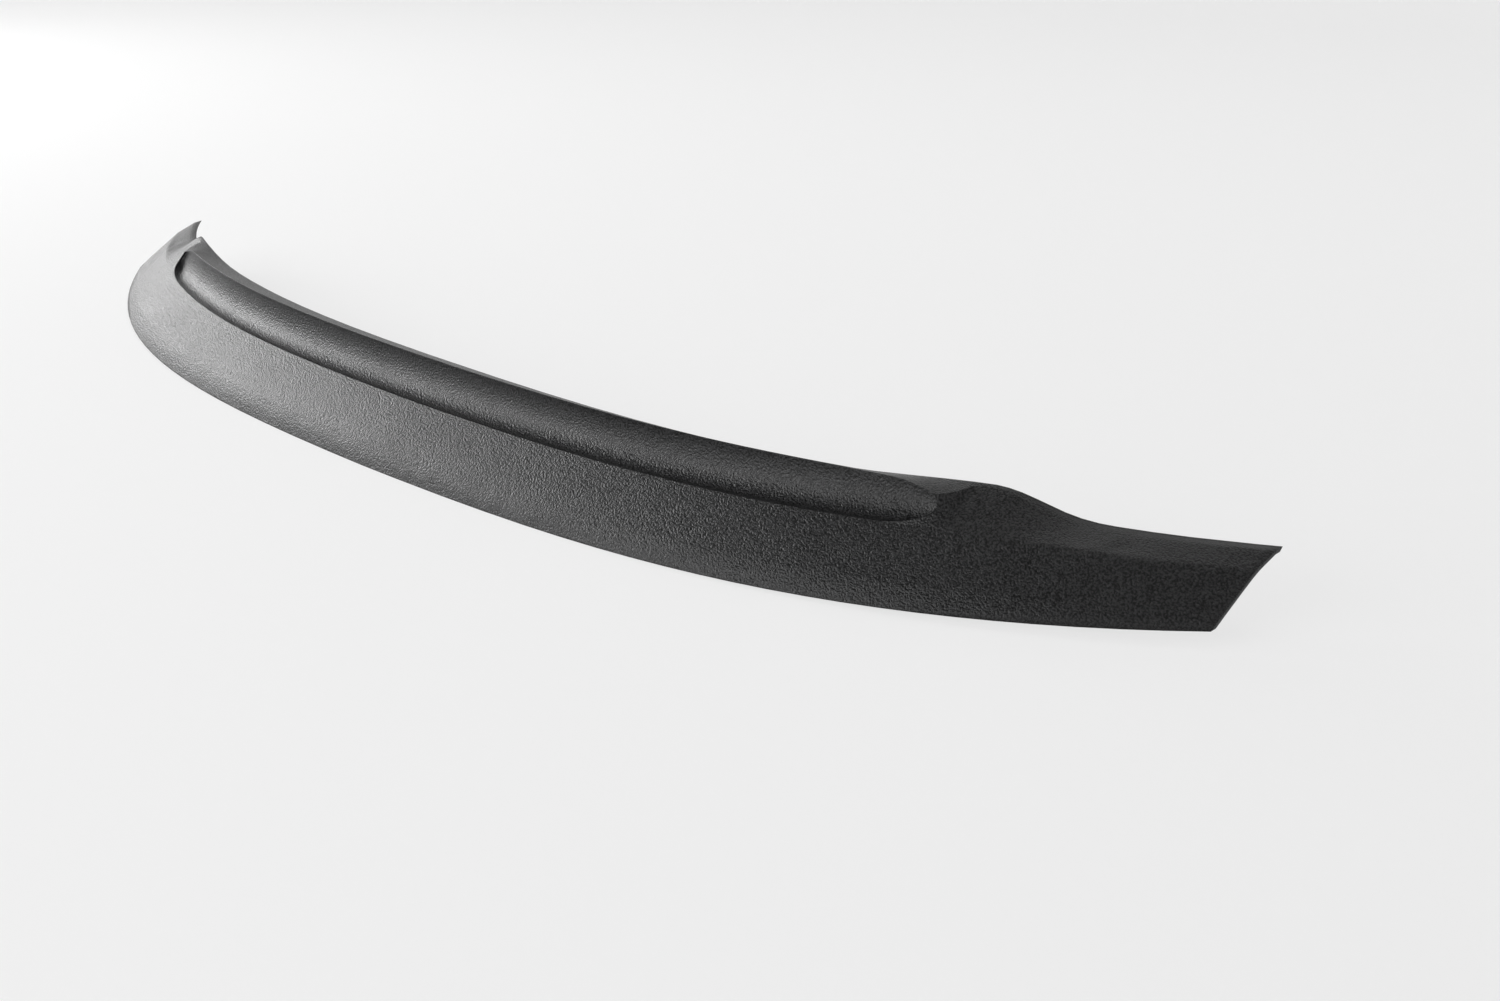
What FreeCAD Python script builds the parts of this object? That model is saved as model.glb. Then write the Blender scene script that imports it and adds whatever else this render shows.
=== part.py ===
import FreeCAD
import Part
import math
import os

# Hood deflector: a thin moulded guard with a long scoop along its top, shaped to wrap
# a leading edge, and the strips of foam tape that bond it there.
#
# Frame: +X to the right as seen from the front, -Y forward, +Z up. The origin is the
# centre of the footprint, on the level of the lowest edge.
#
# Every section of the guard lies in a plane of constant X and is drawn between four
# guide lines that run along its length:
#   lower edge   the free edge in front
#   crease       the top of the front face, where the scoop begins
#   ridge        the edge of the raised lip
#   rear edge    the free edge at the back


# Driving dimensions, in millimetres

SIZES = {
    # plan of the whole guard
    "half_width": 860.0,
    "bow_depth": 200.0,
    "bow_power": 3.3,
    "depth_centre": 136.0,
    "depth_tip": 98.0,
    "depth_power": 1.5,
    # heights of the lower edge, below the rear corner of the wing
    "lower_drop_centre": 60.0,
    "lower_drop_tip": 48.0,
    # heights of the rear edge, above the rear corner of the wing
    "rear_rise_centre": 15.0,
    "rear_rise_scoop": 23.0,
    "rear_rise_shoulder": 31.0,
    "rear_rise_wing": 8.0,
    # front face
    "face_back": 60.0,
    "face_rise": 57.0,
    "face_rise_tip": 37.0,
    "face_bulge": 7.0,
    "face_bulge_tip": 0.5,
    # lip and its flange
    "flange_centre": 50.0,
    "flange_scoop": 38.0,
    "flange_end": 28.0,
    "flange_fold": 5.0,
    "flange_wing": 11.0,
    "lip_rise_centre": 21.0,
    "lip_rise_scoop": 15.0,
    "lip_rise_round": 7.0,
    "lip_drop_end": 5.0,
    "lip_drop_fold": 1.5,
    # lengths along the guard, from each end towards the middle
    "wing_long": 130.0,
    "shoulder_long": 82.0,
    "shoulder_flat": 24.0,
    "fold_long": 15.0,
    "scoop_bowl": 44.0,
    "scoop_taper": 80.0,
    "scoop_step": 50.0,
    "section_step": 60.0,
    # scoop channel
    "channel_depth": 17.0,
    "channel_depth_end": 10.0,
    "scoop_skew": 4.0,
    "lip_setback": 4.0,
    # wall of the moulding
    "wall": 3.0,
    # foam tape
    "tape_thick": 1.2,
    "tape_wide": 13.0,
    "tape_inset": 8.0,
    "tape_gap": 0.3,
    "tape_joint": 20.0,
    "tape_side_long": 255.0,
    "tape_end_margin": 25.0,
}

doc = FreeCAD.newDocument("hood_deflector")
sheet = doc.addObject("Spreadsheet::Sheet", "sizes")
for row, (alias, number) in enumerate(SIZES.items(), start=1):
    sheet.set("A%d" % row, alias)
    sheet.set("B%d" % row, str(number))
    sheet.setAlias("B%d" % row, alias)
doc.recompute()


def size(alias):
    """A driving dimension, read from the sheet."""
    return float(sheet.get(alias))


# Places along the guard, as distances from its middle

def wing_root():
    return size("half_width") - size("wing_long")


def shoulder_out():
    return wing_root() - size("shoulder_long")


def scoop_end():
    return shoulder_out() - size("shoulder_flat")


def scoop_round():
    return scoop_end() - size("scoop_bowl")


def scoop_full():
    return scoop_round() - size("scoop_taper")


# Guide lines

def spline_value(place, knots):
    """Value at a place on the smooth line through (place, value) knots, with no overshoot."""
    xs = [knot[0] for knot in knots]
    vs = [knot[1] for knot in knots]
    if place <= xs[0]:
        return vs[0]
    if place >= xs[-1]:
        return vs[-1]
    count = len(xs)
    steps = [xs[i + 1] - xs[i] for i in range(count - 1)]
    rates = [(vs[i + 1] - vs[i]) / steps[i] for i in range(count - 1)]
    slopes = [0.0] * count
    for i in range(1, count - 1):
        if rates[i - 1] * rates[i] > 0.0:
            before = 2.0 * steps[i] + steps[i - 1]
            after = steps[i] + 2.0 * steps[i - 1]
            slopes[i] = (before + after) / (before / rates[i - 1] + after / rates[i])
    slopes[-1] = rates[-1]
    i = max(k for k in range(count - 1) if xs[k] <= place)
    f = (place - xs[i]) / steps[i]
    return (
        vs[i] * (1 + 2 * f) * (1 - f) ** 2
        + slopes[i] * steps[i] * f * (1 - f) ** 2
        + vs[i + 1] * f * f * (3 - 2 * f)
        + slopes[i + 1] * steps[i] * f * f * (f - 1)
    )


def share(place):
    """Distance from the middle as a share of the half width."""
    return abs(place) / size("half_width")


def rear_edge(place):
    out = -size("bow_depth") * (1.0 - share(place) ** size("bow_power"))
    up = spline_value(abs(place), [
        (0.0, size("rear_rise_centre")),
        (scoop_full(), size("rear_rise_scoop")),
        (shoulder_out(), size("rear_rise_shoulder")),
        (wing_root(), size("rear_rise_wing")),
        (size("half_width"), 0.0),
    ])
    return FreeCAD.Vector(place, out, up)


def lower_edge(place):
    taper = (size("depth_centre") - size("depth_tip")) * share(place) ** size("depth_power")
    out = rear_edge(place).y - size("depth_centre") + taper
    lift = (size("lower_drop_centre") - size("lower_drop_tip")) * share(place) ** 3
    return FreeCAD.Vector(place, out, lift - size("lower_drop_centre"))


def crease(place):
    up = spline_value(abs(place), [
        (0.0, size("face_rise")),
        (scoop_end(), size("face_rise")),
        (size("half_width"), size("face_rise_tip")),
    ])
    return lower_edge(place) + FreeCAD.Vector(0.0, size("face_back"), up)


def ridge(place):
    back = spline_value(abs(place), [
        (0.0, size("flange_centre")),
        (scoop_full(), size("flange_scoop")),
        (scoop_end(), size("flange_end")),
        (scoop_end() + size("fold_long"), size("flange_fold")),
        (wing_root(), size("flange_wing")),
        (size("half_width"), size("flange_wing")),
    ])
    up = spline_value(abs(place), [
        (0.0, size("lip_rise_centre")),
        (scoop_full(), size("lip_rise_scoop")),
        (scoop_round(), size("lip_rise_round")),
        (scoop_end(), -size("lip_drop_end")),
        (scoop_end() + size("fold_long"), -size("lip_drop_fold")),
        (wing_root(), -0.2 * size("flange_wing")),
        (size("half_width"), -0.1 * size("flange_wing")),
    ])
    return rear_edge(place) + FreeCAD.Vector(0.0, -back, up)


# Sections

def smooth_curve(points, marks):
    """Smooth line through points, each at its own mark between 0 and 1."""
    curve = Part.BSplineCurve()
    curve.interpolate(Points=points, Parameters=marks)
    return curve


def even_marks(count):
    return [i / (count - 1.0) for i in range(count)]


def outward(direction):
    """Unit normal of a section line that runs up and back: forward and up."""
    normal = FreeCAD.Vector(0.0, -direction.z, direction.y)
    normal.normalize()
    return normal


FACE_MARKS = [0.0, 0.11, 0.24, 0.52, 0.78, 1.0]
FOOT_MARK = 0.3


def bulge_at(place):
    """How far the face stands proud of its chord: less towards the wing tips."""
    loss = (size("face_bulge") - size("face_bulge_tip")) * share(place) ** 2
    return max(size("face_bulge") - loss, 0.0)


def face_points(place):
    """Lower edge to crease: upright at the foot, then one long flat slope."""
    low = lower_edge(place)
    chord = crease(place) - low
    bulge = bulge_at(place)
    points = []
    for along, rise in ((0.0, 0.0), (0.1, 0.55), (0.22, 0.9), (0.5, 0.85), (0.78, 0.42), (1.0, 0.0)):
        points.append(low + chord * along + outward(chord) * bulge * rise)
    return points


def face_curve(place):
    return smooth_curve(face_points(place), FACE_MARKS)


def upper_curve(place):
    """Crease to ridge, where no scoop is let in."""
    top = crease(place)
    upper = ridge(place) - top
    middle = top + upper * 0.5 + outward(upper) * bulge_at(place) * 0.15
    return smooth_curve([top, middle, ridge(place)], [0.0, 0.5, 1.0])


def slant(place):
    """How much a wall seen in section grows because the bow runs back across it."""
    step = 1.0
    run = (lower_edge(abs(place) + step).y - lower_edge(abs(place) - step).y) / (2.0 * step)
    return math.sqrt(1.0 + 0.5 * run * run)


def inner_curve(place, inset):
    """A line parallel to the front face, from behind the foot to behind the ridge."""
    depth = inset * slant(place)
    points = []
    for curve, marks in (
        (face_curve(place), (0.0, 0.14, 0.3, 0.55, 0.85)),
        (upper_curve(place), (0.2, 0.6, 1.0)),
    ):
        for mark in marks:
            along = FreeCAD.Vector(curve.tangent(mark)[0])
            points.append(curve.value(mark) - outward(along) * depth)
    return smooth_curve(points, even_marks(len(points)))


def part_of(curve, start, end):
    """The stretch of a line between two marks, as an edge."""
    piece = curve.copy()
    piece.segment(start, end)
    return piece.toShape()


def flange_line(place, inset=0.0):
    """Ridge to rear edge, or a line parallel to it on the inner side."""
    start = ridge(place)
    end = rear_edge(place)
    shift = outward(end - start) * inset * slant(place)
    return start - shift, end - shift


def cross(place, inset):
    """Where the parallel face and the parallel flange meet, behind the ridge."""
    curve = inner_curve(place, inset)
    start, end = flange_line(place, inset)
    along = end - start
    along.normalize()
    side = FreeCAD.Vector(0.0, -along.z, along.y)
    low = 0.0
    high = 1.0
    reach = high
    for _ in range(40):
        middle = 0.5 * (low + high)
        if (curve.value(middle) - start).dot(side) > 0.0:
            high = middle
        else:
            low = middle
        reach = middle
    return curve, reach


def stations(limit):
    """Places of the sections on one side, closer together where the form changes."""
    count = max(3, int(round(scoop_full() / size("section_step"))))
    places = [scoop_full() * i / count for i in range(count)]
    spans = [
        (scoop_full(), scoop_end(), 4),
        (scoop_end(), shoulder_out(), 4),
        (shoulder_out(), wing_root(), 4),
        (wing_root(), size("half_width"), 5),
    ]
    for start, end, count in spans:
        places.extend(start + (end - start) * i / count for i in range(count))
    places.append(size("half_width"))
    places.append(limit)
    return places


def both_sides(places):
    return [-place for place in reversed(places) if place > 0.0] + places


def section_places():
    """Places of all sections, the last ones past the planes where the wings end."""
    return both_sides(stations(size("half_width") + 4.0 * size("wall")))


def body_section(place):
    """Closed outline of everything under the outer surface."""
    face = face_curve(place)
    foot = part_of(face, 0.0, FOOT_MARK)
    slope = part_of(face, FOOT_MARK, 1.0)
    back = Part.makeLine(ridge(place), rear_edge(place))
    chord = rear_edge(place) - lower_edge(place)
    belly = lower_edge(place) + chord * 0.5 - outward(chord) * size("face_bulge") * 3.0
    under = Part.makeLine(rear_edge(place), belly)
    ahead = Part.makeLine(belly, lower_edge(place))
    return Part.Wire([foot, slope, upper_curve(place).toShape(), back, under, ahead])


def liner(place, inset):
    """The parallel line up to where it meets the parallel flange."""
    whole, reach = cross(place, inset)
    marks = even_marks(9)
    return smooth_curve([whole.value(reach * mark) for mark in marks], marks)


def hollow_section(place):
    """Closed outline of the hollow behind the wall, open below and at the back."""
    inset = size("wall")
    curve = liner(place, inset)
    low = curve.value(0.0)
    corner = curve.value(1.0)
    start, end = flange_line(place, inset)
    beyond = outward(rear_edge(place) - lower_edge(place)) * 60.0
    along = end - corner
    along.normalize()
    tail = end + along * inset
    heel = part_of(curve, 0.0, FOOT_MARK)
    front = part_of(curve, FOOT_MARK, 1.0)
    back = Part.makeLine(corner, tail)
    down = Part.makeLine(tail, tail - beyond)
    below = low - FreeCAD.Vector(0.0, 0.0, inset)
    up = Part.makeLine(below, low)
    under = Part.makeLine(tail - beyond, below - beyond)
    rise = Part.makeLine(below - beyond, below)
    return Part.Wire([heel, front, back, down, under, rise, up])


def channel_section(place, grow=0.0):
    """Closed outline of the scoop channel, or of the moulding round it."""
    start = crease(place)
    end = ridge(place) + (rear_edge(place) - ridge(place)).normalize() * size("lip_setback")
    middle = (start + end) * 0.5
    beyond = abs(place) - scoop_round()
    length = size("scoop_bowl") + grow
    scale = 1.0
    if beyond > 0.0:
        scale = math.sqrt(max(1.0 - (beyond / length) ** 2, 0.0))
    chord = (end - start) * 0.5 * scale
    half = chord.Length
    chord.normalize()
    inward = -outward(chord)
    depth = scale * spline_value(abs(place), [
        (0.0, size("channel_depth")),
        (scoop_full() * 0.5, size("channel_depth")),
        (scoop_round(), size("channel_depth_end")),
    ])
    reach = half + grow
    deep = depth + grow
    radius = (reach * reach + deep * deep) / (2.0 * deep)
    sweep = 1.3 * math.asin(min(reach / radius, 1.0))
    points = []
    for mark in even_marks(15):
        turn = sweep * (2.0 * mark - 1.0)
        across = radius * math.sin(turn)
        down = radius * math.cos(turn) - radius + deep
        skew = size("scoop_skew") * scale * max(down, 0.0) / deep
        points.append(middle + chord * (across - skew) + inward * down)
    far = middle - inward * (deep * 1.6)
    return Part.Wire([
        smooth_curve(points, even_marks(len(points))).toShape(),
        Part.makeLine(points[-1], far),
        Part.makeLine(far, points[0]),
    ])


def channel_places(grow=0.0):
    """Even places along the scoop, then closer together as its bowl end closes."""
    count = max(2, int(round(scoop_round() / size("scoop_step"))))
    places = [scoop_round() * i / count for i in range(count)]
    length = size("scoop_bowl") + grow
    for angle in (0.0, 12.0, 24.0, 35.0, 45.0, 54.0, 62.0, 69.0, 75.0, 80.0, 84.0, 87.0):
        places.append(scoop_round() + length * math.sin(math.radians(angle)))
    return places


# Objects of the model

def place_from(item, x_rule, y_rule, z_rule):
    """Ties the position of an object to the sheet."""
    item.setExpression(".Placement.Base.x", x_rule)
    item.setExpression(".Placement.Base.y", y_rule)
    item.setExpression(".Placement.Base.z", z_rule)


def loft(name, wires, ruled=False):
    """A solid drawn through section wires, each an object of its own."""
    sections = []
    for number, wire in enumerate(wires):
        section = doc.addObject("Part::Feature", "%s_section_%02d" % (name, number))
        section.Shape = wire
        sections.append(section)
    solid = doc.addObject("Part::Loft", name)
    solid.Sections = sections
    solid.Solid = True
    solid.Ruled = ruled
    return solid


def scoop_form(name, grow=0.0):
    """The space of the scoop, or that space with its wall."""
    places = both_sides(channel_places(grow))
    return loft(name, [channel_section(place, grow) for place in places], True)


def combine(kind, name, base, tool):
    """Base and tool joined, cut or intersected."""
    result = doc.addObject(kind, name)
    result.Base = base
    result.Tool = tool
    return result


def stretch(name, start_rule, long_rule):
    """The space between two planes across the guard."""
    space = doc.addObject("Part::Box", name)
    space.setExpression("Length", long_rule)
    space.setExpression("Width", "4 * sizes.bow_depth + 4 * sizes.depth_centre")
    space.setExpression("Height", "4 * sizes.bow_depth + 4 * sizes.depth_centre")
    half = "-2 * (sizes.bow_depth + sizes.depth_centre)"
    place_from(space, start_rule, half, half)
    return space


def wing_limits():
    """The space between the two planes where the wings end."""
    return stretch("wing_limits", "-sizes.half_width", "2 * sizes.half_width")


def shell():
    """Outer form, less the hollow behind its wall, with the scoop let into it."""
    places = section_places()
    outer = loft("outer_form", [body_section(place) for place in places])
    trimmed = combine("Part::Common", "outer_trimmed", outer, wing_limits())
    hollow = loft("hollow", [hollow_section(place) for place in places])
    skin = combine("Part::Cut", "skin", trimmed, hollow)
    bowl = scoop_form("scoop_wall", size("wall"))
    scoop = scoop_form("scoop_space")
    lining = combine("Part::Common", "scoop_lining", trimmed, bowl)
    lined = combine("Part::Fuse", "lined_skin", skin, lining)
    return combine("Part::Cut", "deflector_shell", lined, scoop)


# Foam tape

def tape_on_face(place):
    """A band of tape behind the lower edge, in section."""
    curve = liner(place, size("wall") + size("tape_gap"))
    marks = even_marks(4)
    near = []
    for mark in marks:
        at = curve.parameterAtDistance(size("tape_inset") + size("tape_wide") * mark, 0.0)
        near.append((curve.value(at), outward(FreeCAD.Vector(curve.tangent(at)[0]))))
    top = smooth_curve([point for point, normal in near], marks)
    under = smooth_curve([point - normal * size("tape_thick") for point, normal in near], marks)
    return Part.Wire([
        top.toShape(),
        Part.makeLine(near[-1][0], under.value(1.0)),
        under.toShape(),
        Part.makeLine(under.value(0.0), near[0][0]),
    ])


def tape_on_flange(place):
    """A band of tape below the rear edge, in section."""
    begin, finish = flange_line(place, size("wall") + size("tape_gap"))
    along = finish - begin
    along.normalize()
    outer = finish - along * size("tape_inset")
    inner = outer - along * size("tape_wide")
    down = outward(along) * size("tape_thick")
    return Part.makePolygon([inner, outer, outer - down, inner - down, inner])


def tapes():
    """A band behind the whole lower edge and one below the rear edge, cut to their strips."""
    places = section_places()
    lower = loft("tape_lower_band", [tape_on_face(place) for place in places])
    rear = loft("tape_rear_band", [tape_on_flange(place) for place in places])
    side = "(sizes.tape_side_long)"
    inner_end = "(sizes.half_width - sizes.tape_end_margin - sizes.tape_side_long)"
    centre_half = "(sizes.half_width - sizes.tape_end_margin - sizes.tape_side_long - sizes.tape_joint)"
    outer_end = "(sizes.half_width - sizes.tape_end_margin)"
    centre = stretch("centre_stretch", "-" + centre_half, "2 * " + centre_half)
    right = stretch("right_stretch", inner_end, side)
    left = stretch("left_stretch", "-" + outer_end, side)
    return [
        combine("Part::Common", "tape_lower_centre", lower, centre),
        combine("Part::Common", "tape_lower_right", lower, right),
        combine("Part::Common", "tape_lower_left", lower, left),
        combine("Part::Common", "tape_rear_centre", rear, centre),
    ]


pieces = [shell()] + tapes()

# The guard stands with its lowest edge at zero and its footprint centred
for piece in pieces:
    piece.Label = piece.Name
    place_from(piece, "0", "0.5 * (sizes.bow_depth + sizes.depth_centre)", "sizes.lower_drop_centre")

doc.recompute()
os.makedirs("parts", exist_ok=True)
for item in doc.Objects:
    if "Invalid" in item.State or "Error" in item.State:
        raise RuntimeError(item.Label + " did not build")
for piece in pieces:
    if piece.Shape.isNull() or not piece.Shape.isValid():
        raise RuntimeError(piece.Label + " is not a valid solid")
for piece in pieces:
    piece.Shape.exportStep("parts/" + piece.Label + ".step")
    print(piece.Label, len(piece.Shape.Solids), round(piece.Shape.Volume))
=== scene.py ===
import math

import bpy
from mathutils import Matrix, Vector

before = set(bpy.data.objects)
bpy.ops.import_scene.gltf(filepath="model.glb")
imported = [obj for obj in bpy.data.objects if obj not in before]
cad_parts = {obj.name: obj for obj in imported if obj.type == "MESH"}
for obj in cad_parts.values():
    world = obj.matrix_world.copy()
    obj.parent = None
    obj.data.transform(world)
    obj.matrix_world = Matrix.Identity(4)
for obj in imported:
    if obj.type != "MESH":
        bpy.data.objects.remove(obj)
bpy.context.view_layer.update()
scene = bpy.context.scene

# The grain of the moulding: features per metre, and depths in metres
GRAIN_SCALE = 500.0
GRAIN_DEPTH = 0.0014
PEBBLE_SCALE = 620.0
PEBBLE_DEPTH = 0.0006
DRIFT_SCALE = 9.0
GRAIN_DARK = (0.003, 0.003, 0.0032)
GRAIN_LIGHT = (0.035, 0.035, 0.036)
PLASTIC_SHINE = 0.38

# Rounding of edges in shading, in metres: sharp up to SOFT_FROM, softest past SOFT_TO
EDGE_SHARP = 0.0015
EDGE_SOFT = 0.012
SOFT_FROM = 0.64
SOFT_TO = 0.76

# The closed cells of the foam tape
FOAM_SCALE = 1400.0
FOAM_DEPTH = 0.0003
FOAM_DARK = (0.03, 0.03, 0.032)
FOAM_LIGHT = (0.055, 0.055, 0.058)

# The stage, in metres, and its paint
STAGE_REACH = 5.2
STAGE_CORNER = 1.6
STAGE_HEIGHT = 3.4
STAGE_TURNS = 96
STAGE_BENDS = 12
STAGE_RINGS = (0.4, 2.0)
STAGE_PAINT = (0.8, 0.8, 0.8, 1.0)
STAGE_GLOW = (0.98, 0.98, 0.98, 1.0)
GLOW_SHARE = 0.72

# The middle of the object, where the lamps point
AIM = Vector((0.0, 0.0, 0.05))

# The camera: angles in degrees, place in metres, focal length and frame in pixels
CAMERA_AZIMUTH = 45.9
CAMERA_ELEVATION = 20.0
CAMERA_PLACE = Vector((1.762, -1.326, 0.715))
FOCAL_PIXELS = 2166.0
FRAME_PIXELS = 1500.0
SENSOR_WIDTH = 36.0


# Materials

class Nodes:
    """Short calls for building a material from nodes."""

    def __init__(self, name):
        self.material = bpy.data.materials.new(name)
        self.material.use_nodes = True
        self.tree = self.material.node_tree
        self.tree.nodes.clear()
        self.out = self.add("ShaderNodeOutputMaterial")

    def add(self, kind, **values):
        node = self.tree.nodes.new(kind)
        for key, value in values.items():
            setattr(node, key, value)
        return node

    def join(self, source, target):
        self.tree.links.new(source, target)

    def coordinates(self):
        return self.add("ShaderNodeTexCoord").outputs["Object"]

    def noise(self, where, scale, detail, roughness):
        node = self.add("ShaderNodeTexNoise")
        node.inputs["Scale"].default_value = scale
        node.inputs["Detail"].default_value = detail
        node.inputs["Roughness"].default_value = roughness
        self.join(where, node.inputs["Vector"])
        return node.outputs["Fac"]

    def cells(self, where, scale):
        node = self.add("ShaderNodeTexVoronoi", feature="F1")
        node.inputs["Scale"].default_value = scale
        self.join(where, node.inputs["Vector"])
        return node.outputs["Distance"]

    def spread(self, value, low, high, start, end):
        node = self.add("ShaderNodeMapRange")
        node.inputs["From Min"].default_value = low
        node.inputs["From Max"].default_value = high
        node.inputs["To Min"].default_value = start
        node.inputs["To Max"].default_value = end
        self.join(value, node.inputs["Value"])
        return node.outputs["Result"]

    def sum(self, first, second):
        node = self.add("ShaderNodeMath", operation="ADD")
        self.join(first, node.inputs[0])
        self.join(second, node.inputs[1])
        return node.outputs["Value"]

    def shade(self, value, dark, light):
        node = self.add("ShaderNodeMix", data_type="RGBA")
        node.inputs["A"].default_value = (*dark, 1.0)
        node.inputs["B"].default_value = (*light, 1.0)
        self.join(value, node.inputs["Factor"])
        return node.outputs["Result"]

    def edge_round(self, where):
        """Sharp mould edges in the middle that soften towards the wing ends."""
        split = self.add("ShaderNodeSeparateXYZ")
        self.join(where, split.inputs[0])
        side = self.add("ShaderNodeMath", operation="ABSOLUTE")
        self.join(split.outputs["X"], side.inputs[0])
        return self.spread(side.outputs["Value"], SOFT_FROM, SOFT_TO, EDGE_SHARP, EDGE_SOFT)

    def bump(self, height, depth, strength, under=None):
        node = self.add("ShaderNodeBump")
        node.inputs["Distance"].default_value = depth
        node.inputs["Strength"].default_value = strength
        self.join(height, node.inputs["Height"])
        if under is not None:
            self.join(under, node.inputs["Normal"])
        return node.outputs["Normal"]


def textured_plastic():
    """Matt black plastic with the fine pebbled grain of its mould."""
    n = Nodes("textured_black_plastic")
    where = n.coordinates()
    shader = n.add("ShaderNodeBsdfPrincipled")
    grain = n.noise(where, GRAIN_SCALE, 1.0, 0.5)
    pebble = n.cells(where, PEBBLE_SCALE)
    drift = n.noise(where, DRIFT_SCALE, 3.0, 0.55)
    tone = n.spread(grain, 0.38, 0.62, 0.0, 1.0)
    n.join(n.shade(tone, GRAIN_DARK, GRAIN_LIGHT), shader.inputs["Base Color"])
    fine_gloss = n.spread(grain, 0.32, 0.68, 0.34, 0.5)
    broad_gloss = n.spread(drift, 0.3, 0.7, -0.03, 0.03)
    n.join(n.sum(fine_gloss, broad_gloss), shader.inputs["Roughness"])
    rounded = n.add("ShaderNodeBevel", samples=6)
    n.join(n.edge_round(where), rounded.inputs["Radius"])
    coarse = n.bump(pebble, PEBBLE_DEPTH, 0.5, rounded.outputs["Normal"])
    n.join(n.bump(grain, GRAIN_DEPTH, 0.75, coarse), shader.inputs["Normal"])
    shader.inputs["Specular IOR Level"].default_value = PLASTIC_SHINE
    n.join(shader.outputs["BSDF"], n.out.inputs["Surface"])
    return n.material


def foam():
    """Closed-cell foam tape, dark grey."""
    n = Nodes("foam_tape")
    shader = n.add("ShaderNodeBsdfPrincipled")
    cells = n.cells(n.coordinates(), FOAM_SCALE)
    n.join(n.shade(cells, FOAM_DARK, FOAM_LIGHT), shader.inputs["Base Color"])
    shader.inputs["Roughness"].default_value = 0.85
    n.join(n.bump(cells, FOAM_DEPTH, 0.6), shader.inputs["Normal"])
    n.join(shader.outputs["BSDF"], n.out.inputs["Surface"])
    return n.material


def stage_white():
    """White paint that reads as an even pale background and still takes a shadow."""
    n = Nodes("stage_white")
    matt = n.add("ShaderNodeBsdfDiffuse")
    matt.inputs["Color"].default_value = STAGE_PAINT
    glow = n.add("ShaderNodeEmission")
    glow.inputs["Color"].default_value = STAGE_GLOW
    glow.inputs["Strength"].default_value = 1.0
    path = n.add("ShaderNodeLightPath")
    seen = n.sum(path.outputs["Is Camera Ray"], path.outputs["Is Glossy Ray"])
    seen = n.sum(seen, path.outputs["Is Transmission Ray"])
    both = n.add("ShaderNodeMixShader")
    n.join(n.spread(seen, 0.0, 1.0, 0.0, GLOW_SHARE), both.inputs["Fac"])
    n.join(matt.outputs["BSDF"], both.inputs[1])
    n.join(glow.outputs["Emission"], both.inputs[2])
    n.join(both.outputs["Shader"], n.out.inputs["Surface"])
    return n.material


def smooth(mesh):
    for face in mesh.polygons:
        face.use_smooth = True


def dress(node, material):
    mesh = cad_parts[node].data
    mesh.materials.clear()
    mesh.materials.append(material)
    smooth(mesh)


plastic = textured_plastic()
tape = foam()
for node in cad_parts:
    dress(node, plastic if node == "deflector_shell" else tape)


# Floor and backdrop

def stage_profile():
    """Distance from the middle and height, from the floor up the wall."""
    foot = STAGE_REACH - STAGE_CORNER
    profile = [(ring, 0.0) for ring in STAGE_RINGS]
    profile.append((foot, 0.0))
    for i in range(1, STAGE_BENDS + 1):
        turn = 0.5 * math.pi * i / STAGE_BENDS
        out = foot + STAGE_CORNER * math.sin(turn)
        rise = STAGE_CORNER - STAGE_CORNER * math.cos(turn)
        profile.append((out, rise))
    profile.append((STAGE_REACH, STAGE_HEIGHT))
    return profile


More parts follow.
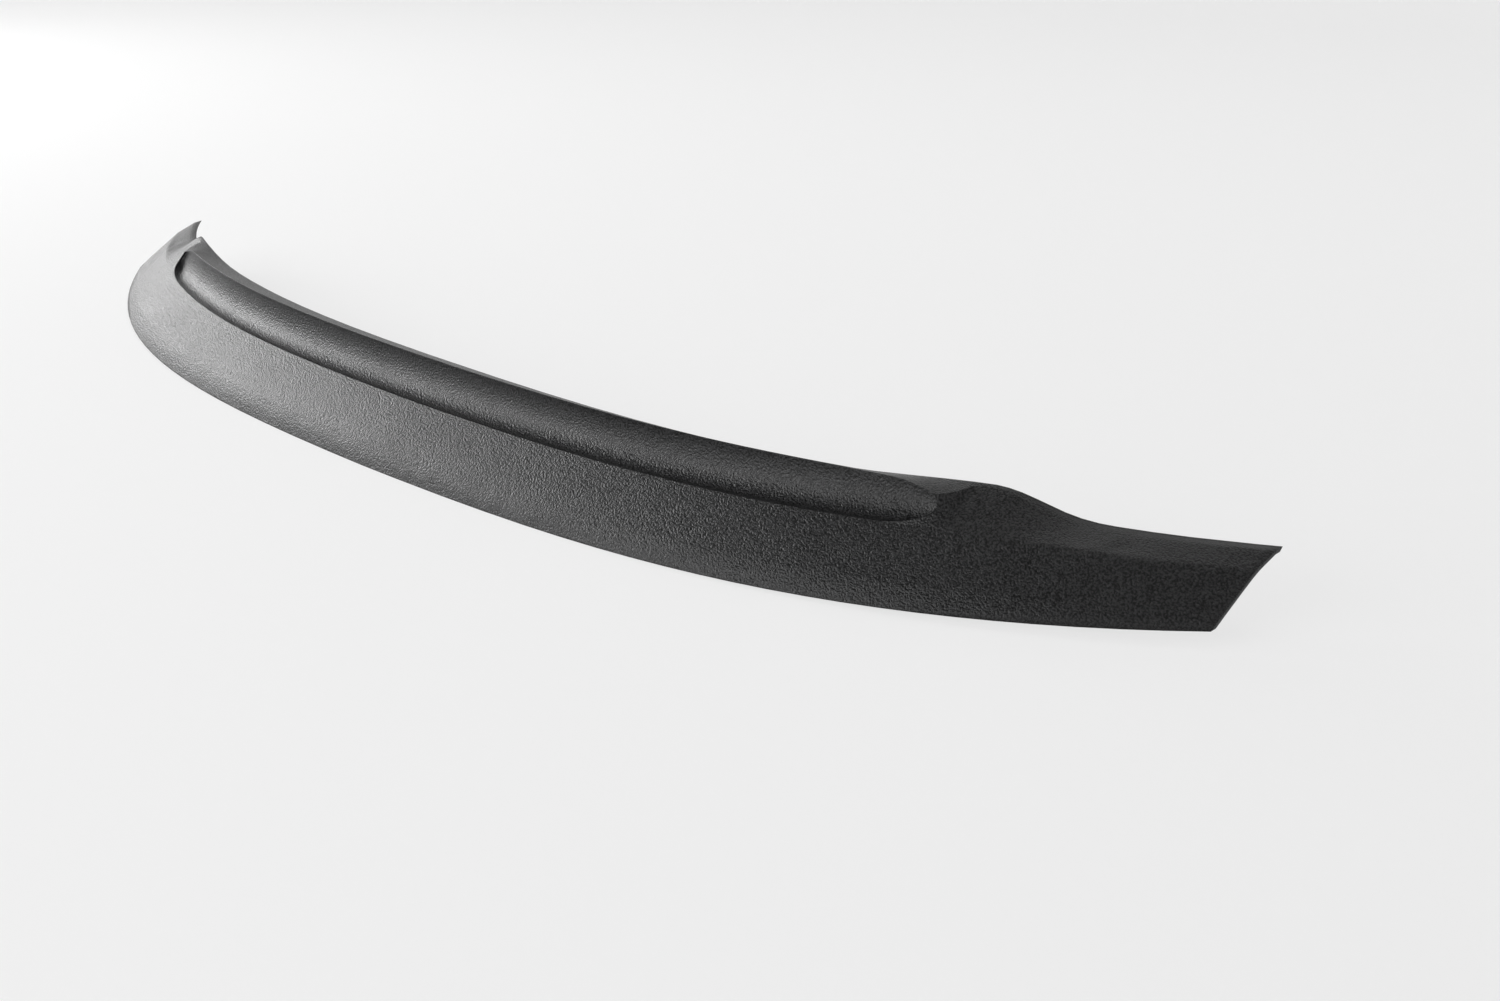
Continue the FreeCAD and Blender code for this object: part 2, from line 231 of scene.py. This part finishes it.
def pale_stage():
    """A round white floor that curves up into a low wall on every side."""
    profile = stage_profile()
    points = []
    for out, rise in profile:
        for j in range(STAGE_TURNS):
            angle = 2.0 * math.pi * j / STAGE_TURNS
            points.append((out * math.cos(angle), out * math.sin(angle), rise))
    faces = [tuple(range(STAGE_TURNS))]
    for i in range(len(profile) - 1):
        inner = i * STAGE_TURNS
        outer = inner + STAGE_TURNS
        for j in range(STAGE_TURNS):
            k = (j + 1) % STAGE_TURNS
            faces.append((inner + j, outer + j, outer + k, inner + k))
    mesh = bpy.data.meshes.new("stage_floor")
    mesh.from_pydata(points, [], faces)
    mesh.update()
    smooth(mesh)
    mesh.materials.append(stage_white())
    floor = bpy.data.objects.new("stage_floor", mesh)
    scene.collection.objects.link(floor)


pale_stage()


# Light

def softbox(name, place, wide, tall, watts):
    lamp = bpy.data.lights.new(name, "AREA")
    lamp.shape = "RECTANGLE"
    lamp.size = wide
    lamp.size_y = tall
    lamp.energy = watts
    holder = bpy.data.objects.new(name, lamp)
    holder.location = place
    holder.rotation_euler = (AIM - Vector(place)).to_track_quat("-Z", "Y").to_euler()
    scene.collection.objects.link(holder)


softbox("light_left", (-3.35, -0.55, 1.1), 2.4, 1.4, 96.0)
softbox("light_front", (-0.6, -3.1, 1.2), 3.6, 1.2, 66.0)
softbox("light_back", (-0.7, 1.9, 2.9), 2.4, 1.4, 18.0)

world = bpy.data.worlds.new("studio")
scene.world = world
world.use_nodes = True
sky = world.node_tree.nodes["Background"]
sky.inputs["Color"].default_value = (0.9, 0.9, 0.9, 1.0)
sky.inputs["Strength"].default_value = 0.2


# Camera, from the photograph's viewing angle

def photo_camera():
    azimuth = math.radians(CAMERA_AZIMUTH)
    elevation = math.radians(CAMERA_ELEVATION)
    right = Vector((math.cos(azimuth), math.sin(azimuth), 0.0))
    back = Vector((
        math.sin(azimuth) * math.cos(elevation),
        -math.cos(azimuth) * math.cos(elevation),
        math.sin(elevation),
    ))
    lens = bpy.data.cameras.new("photo_camera")
    lens.sensor_width = SENSOR_WIDTH
    lens.lens = SENSOR_WIDTH * FOCAL_PIXELS / FRAME_PIXELS
    lens.clip_end = 60.0
    camera = bpy.data.objects.new("photo_camera", lens)
    turned = Matrix((right, back.cross(right), back)).transposed().to_4x4()
    turned.translation = CAMERA_PLACE
    camera.matrix_world = turned
    scene.collection.objects.link(camera)
    return camera


scene.camera = photo_camera()
scene.view_settings.view_transform = "Standard"
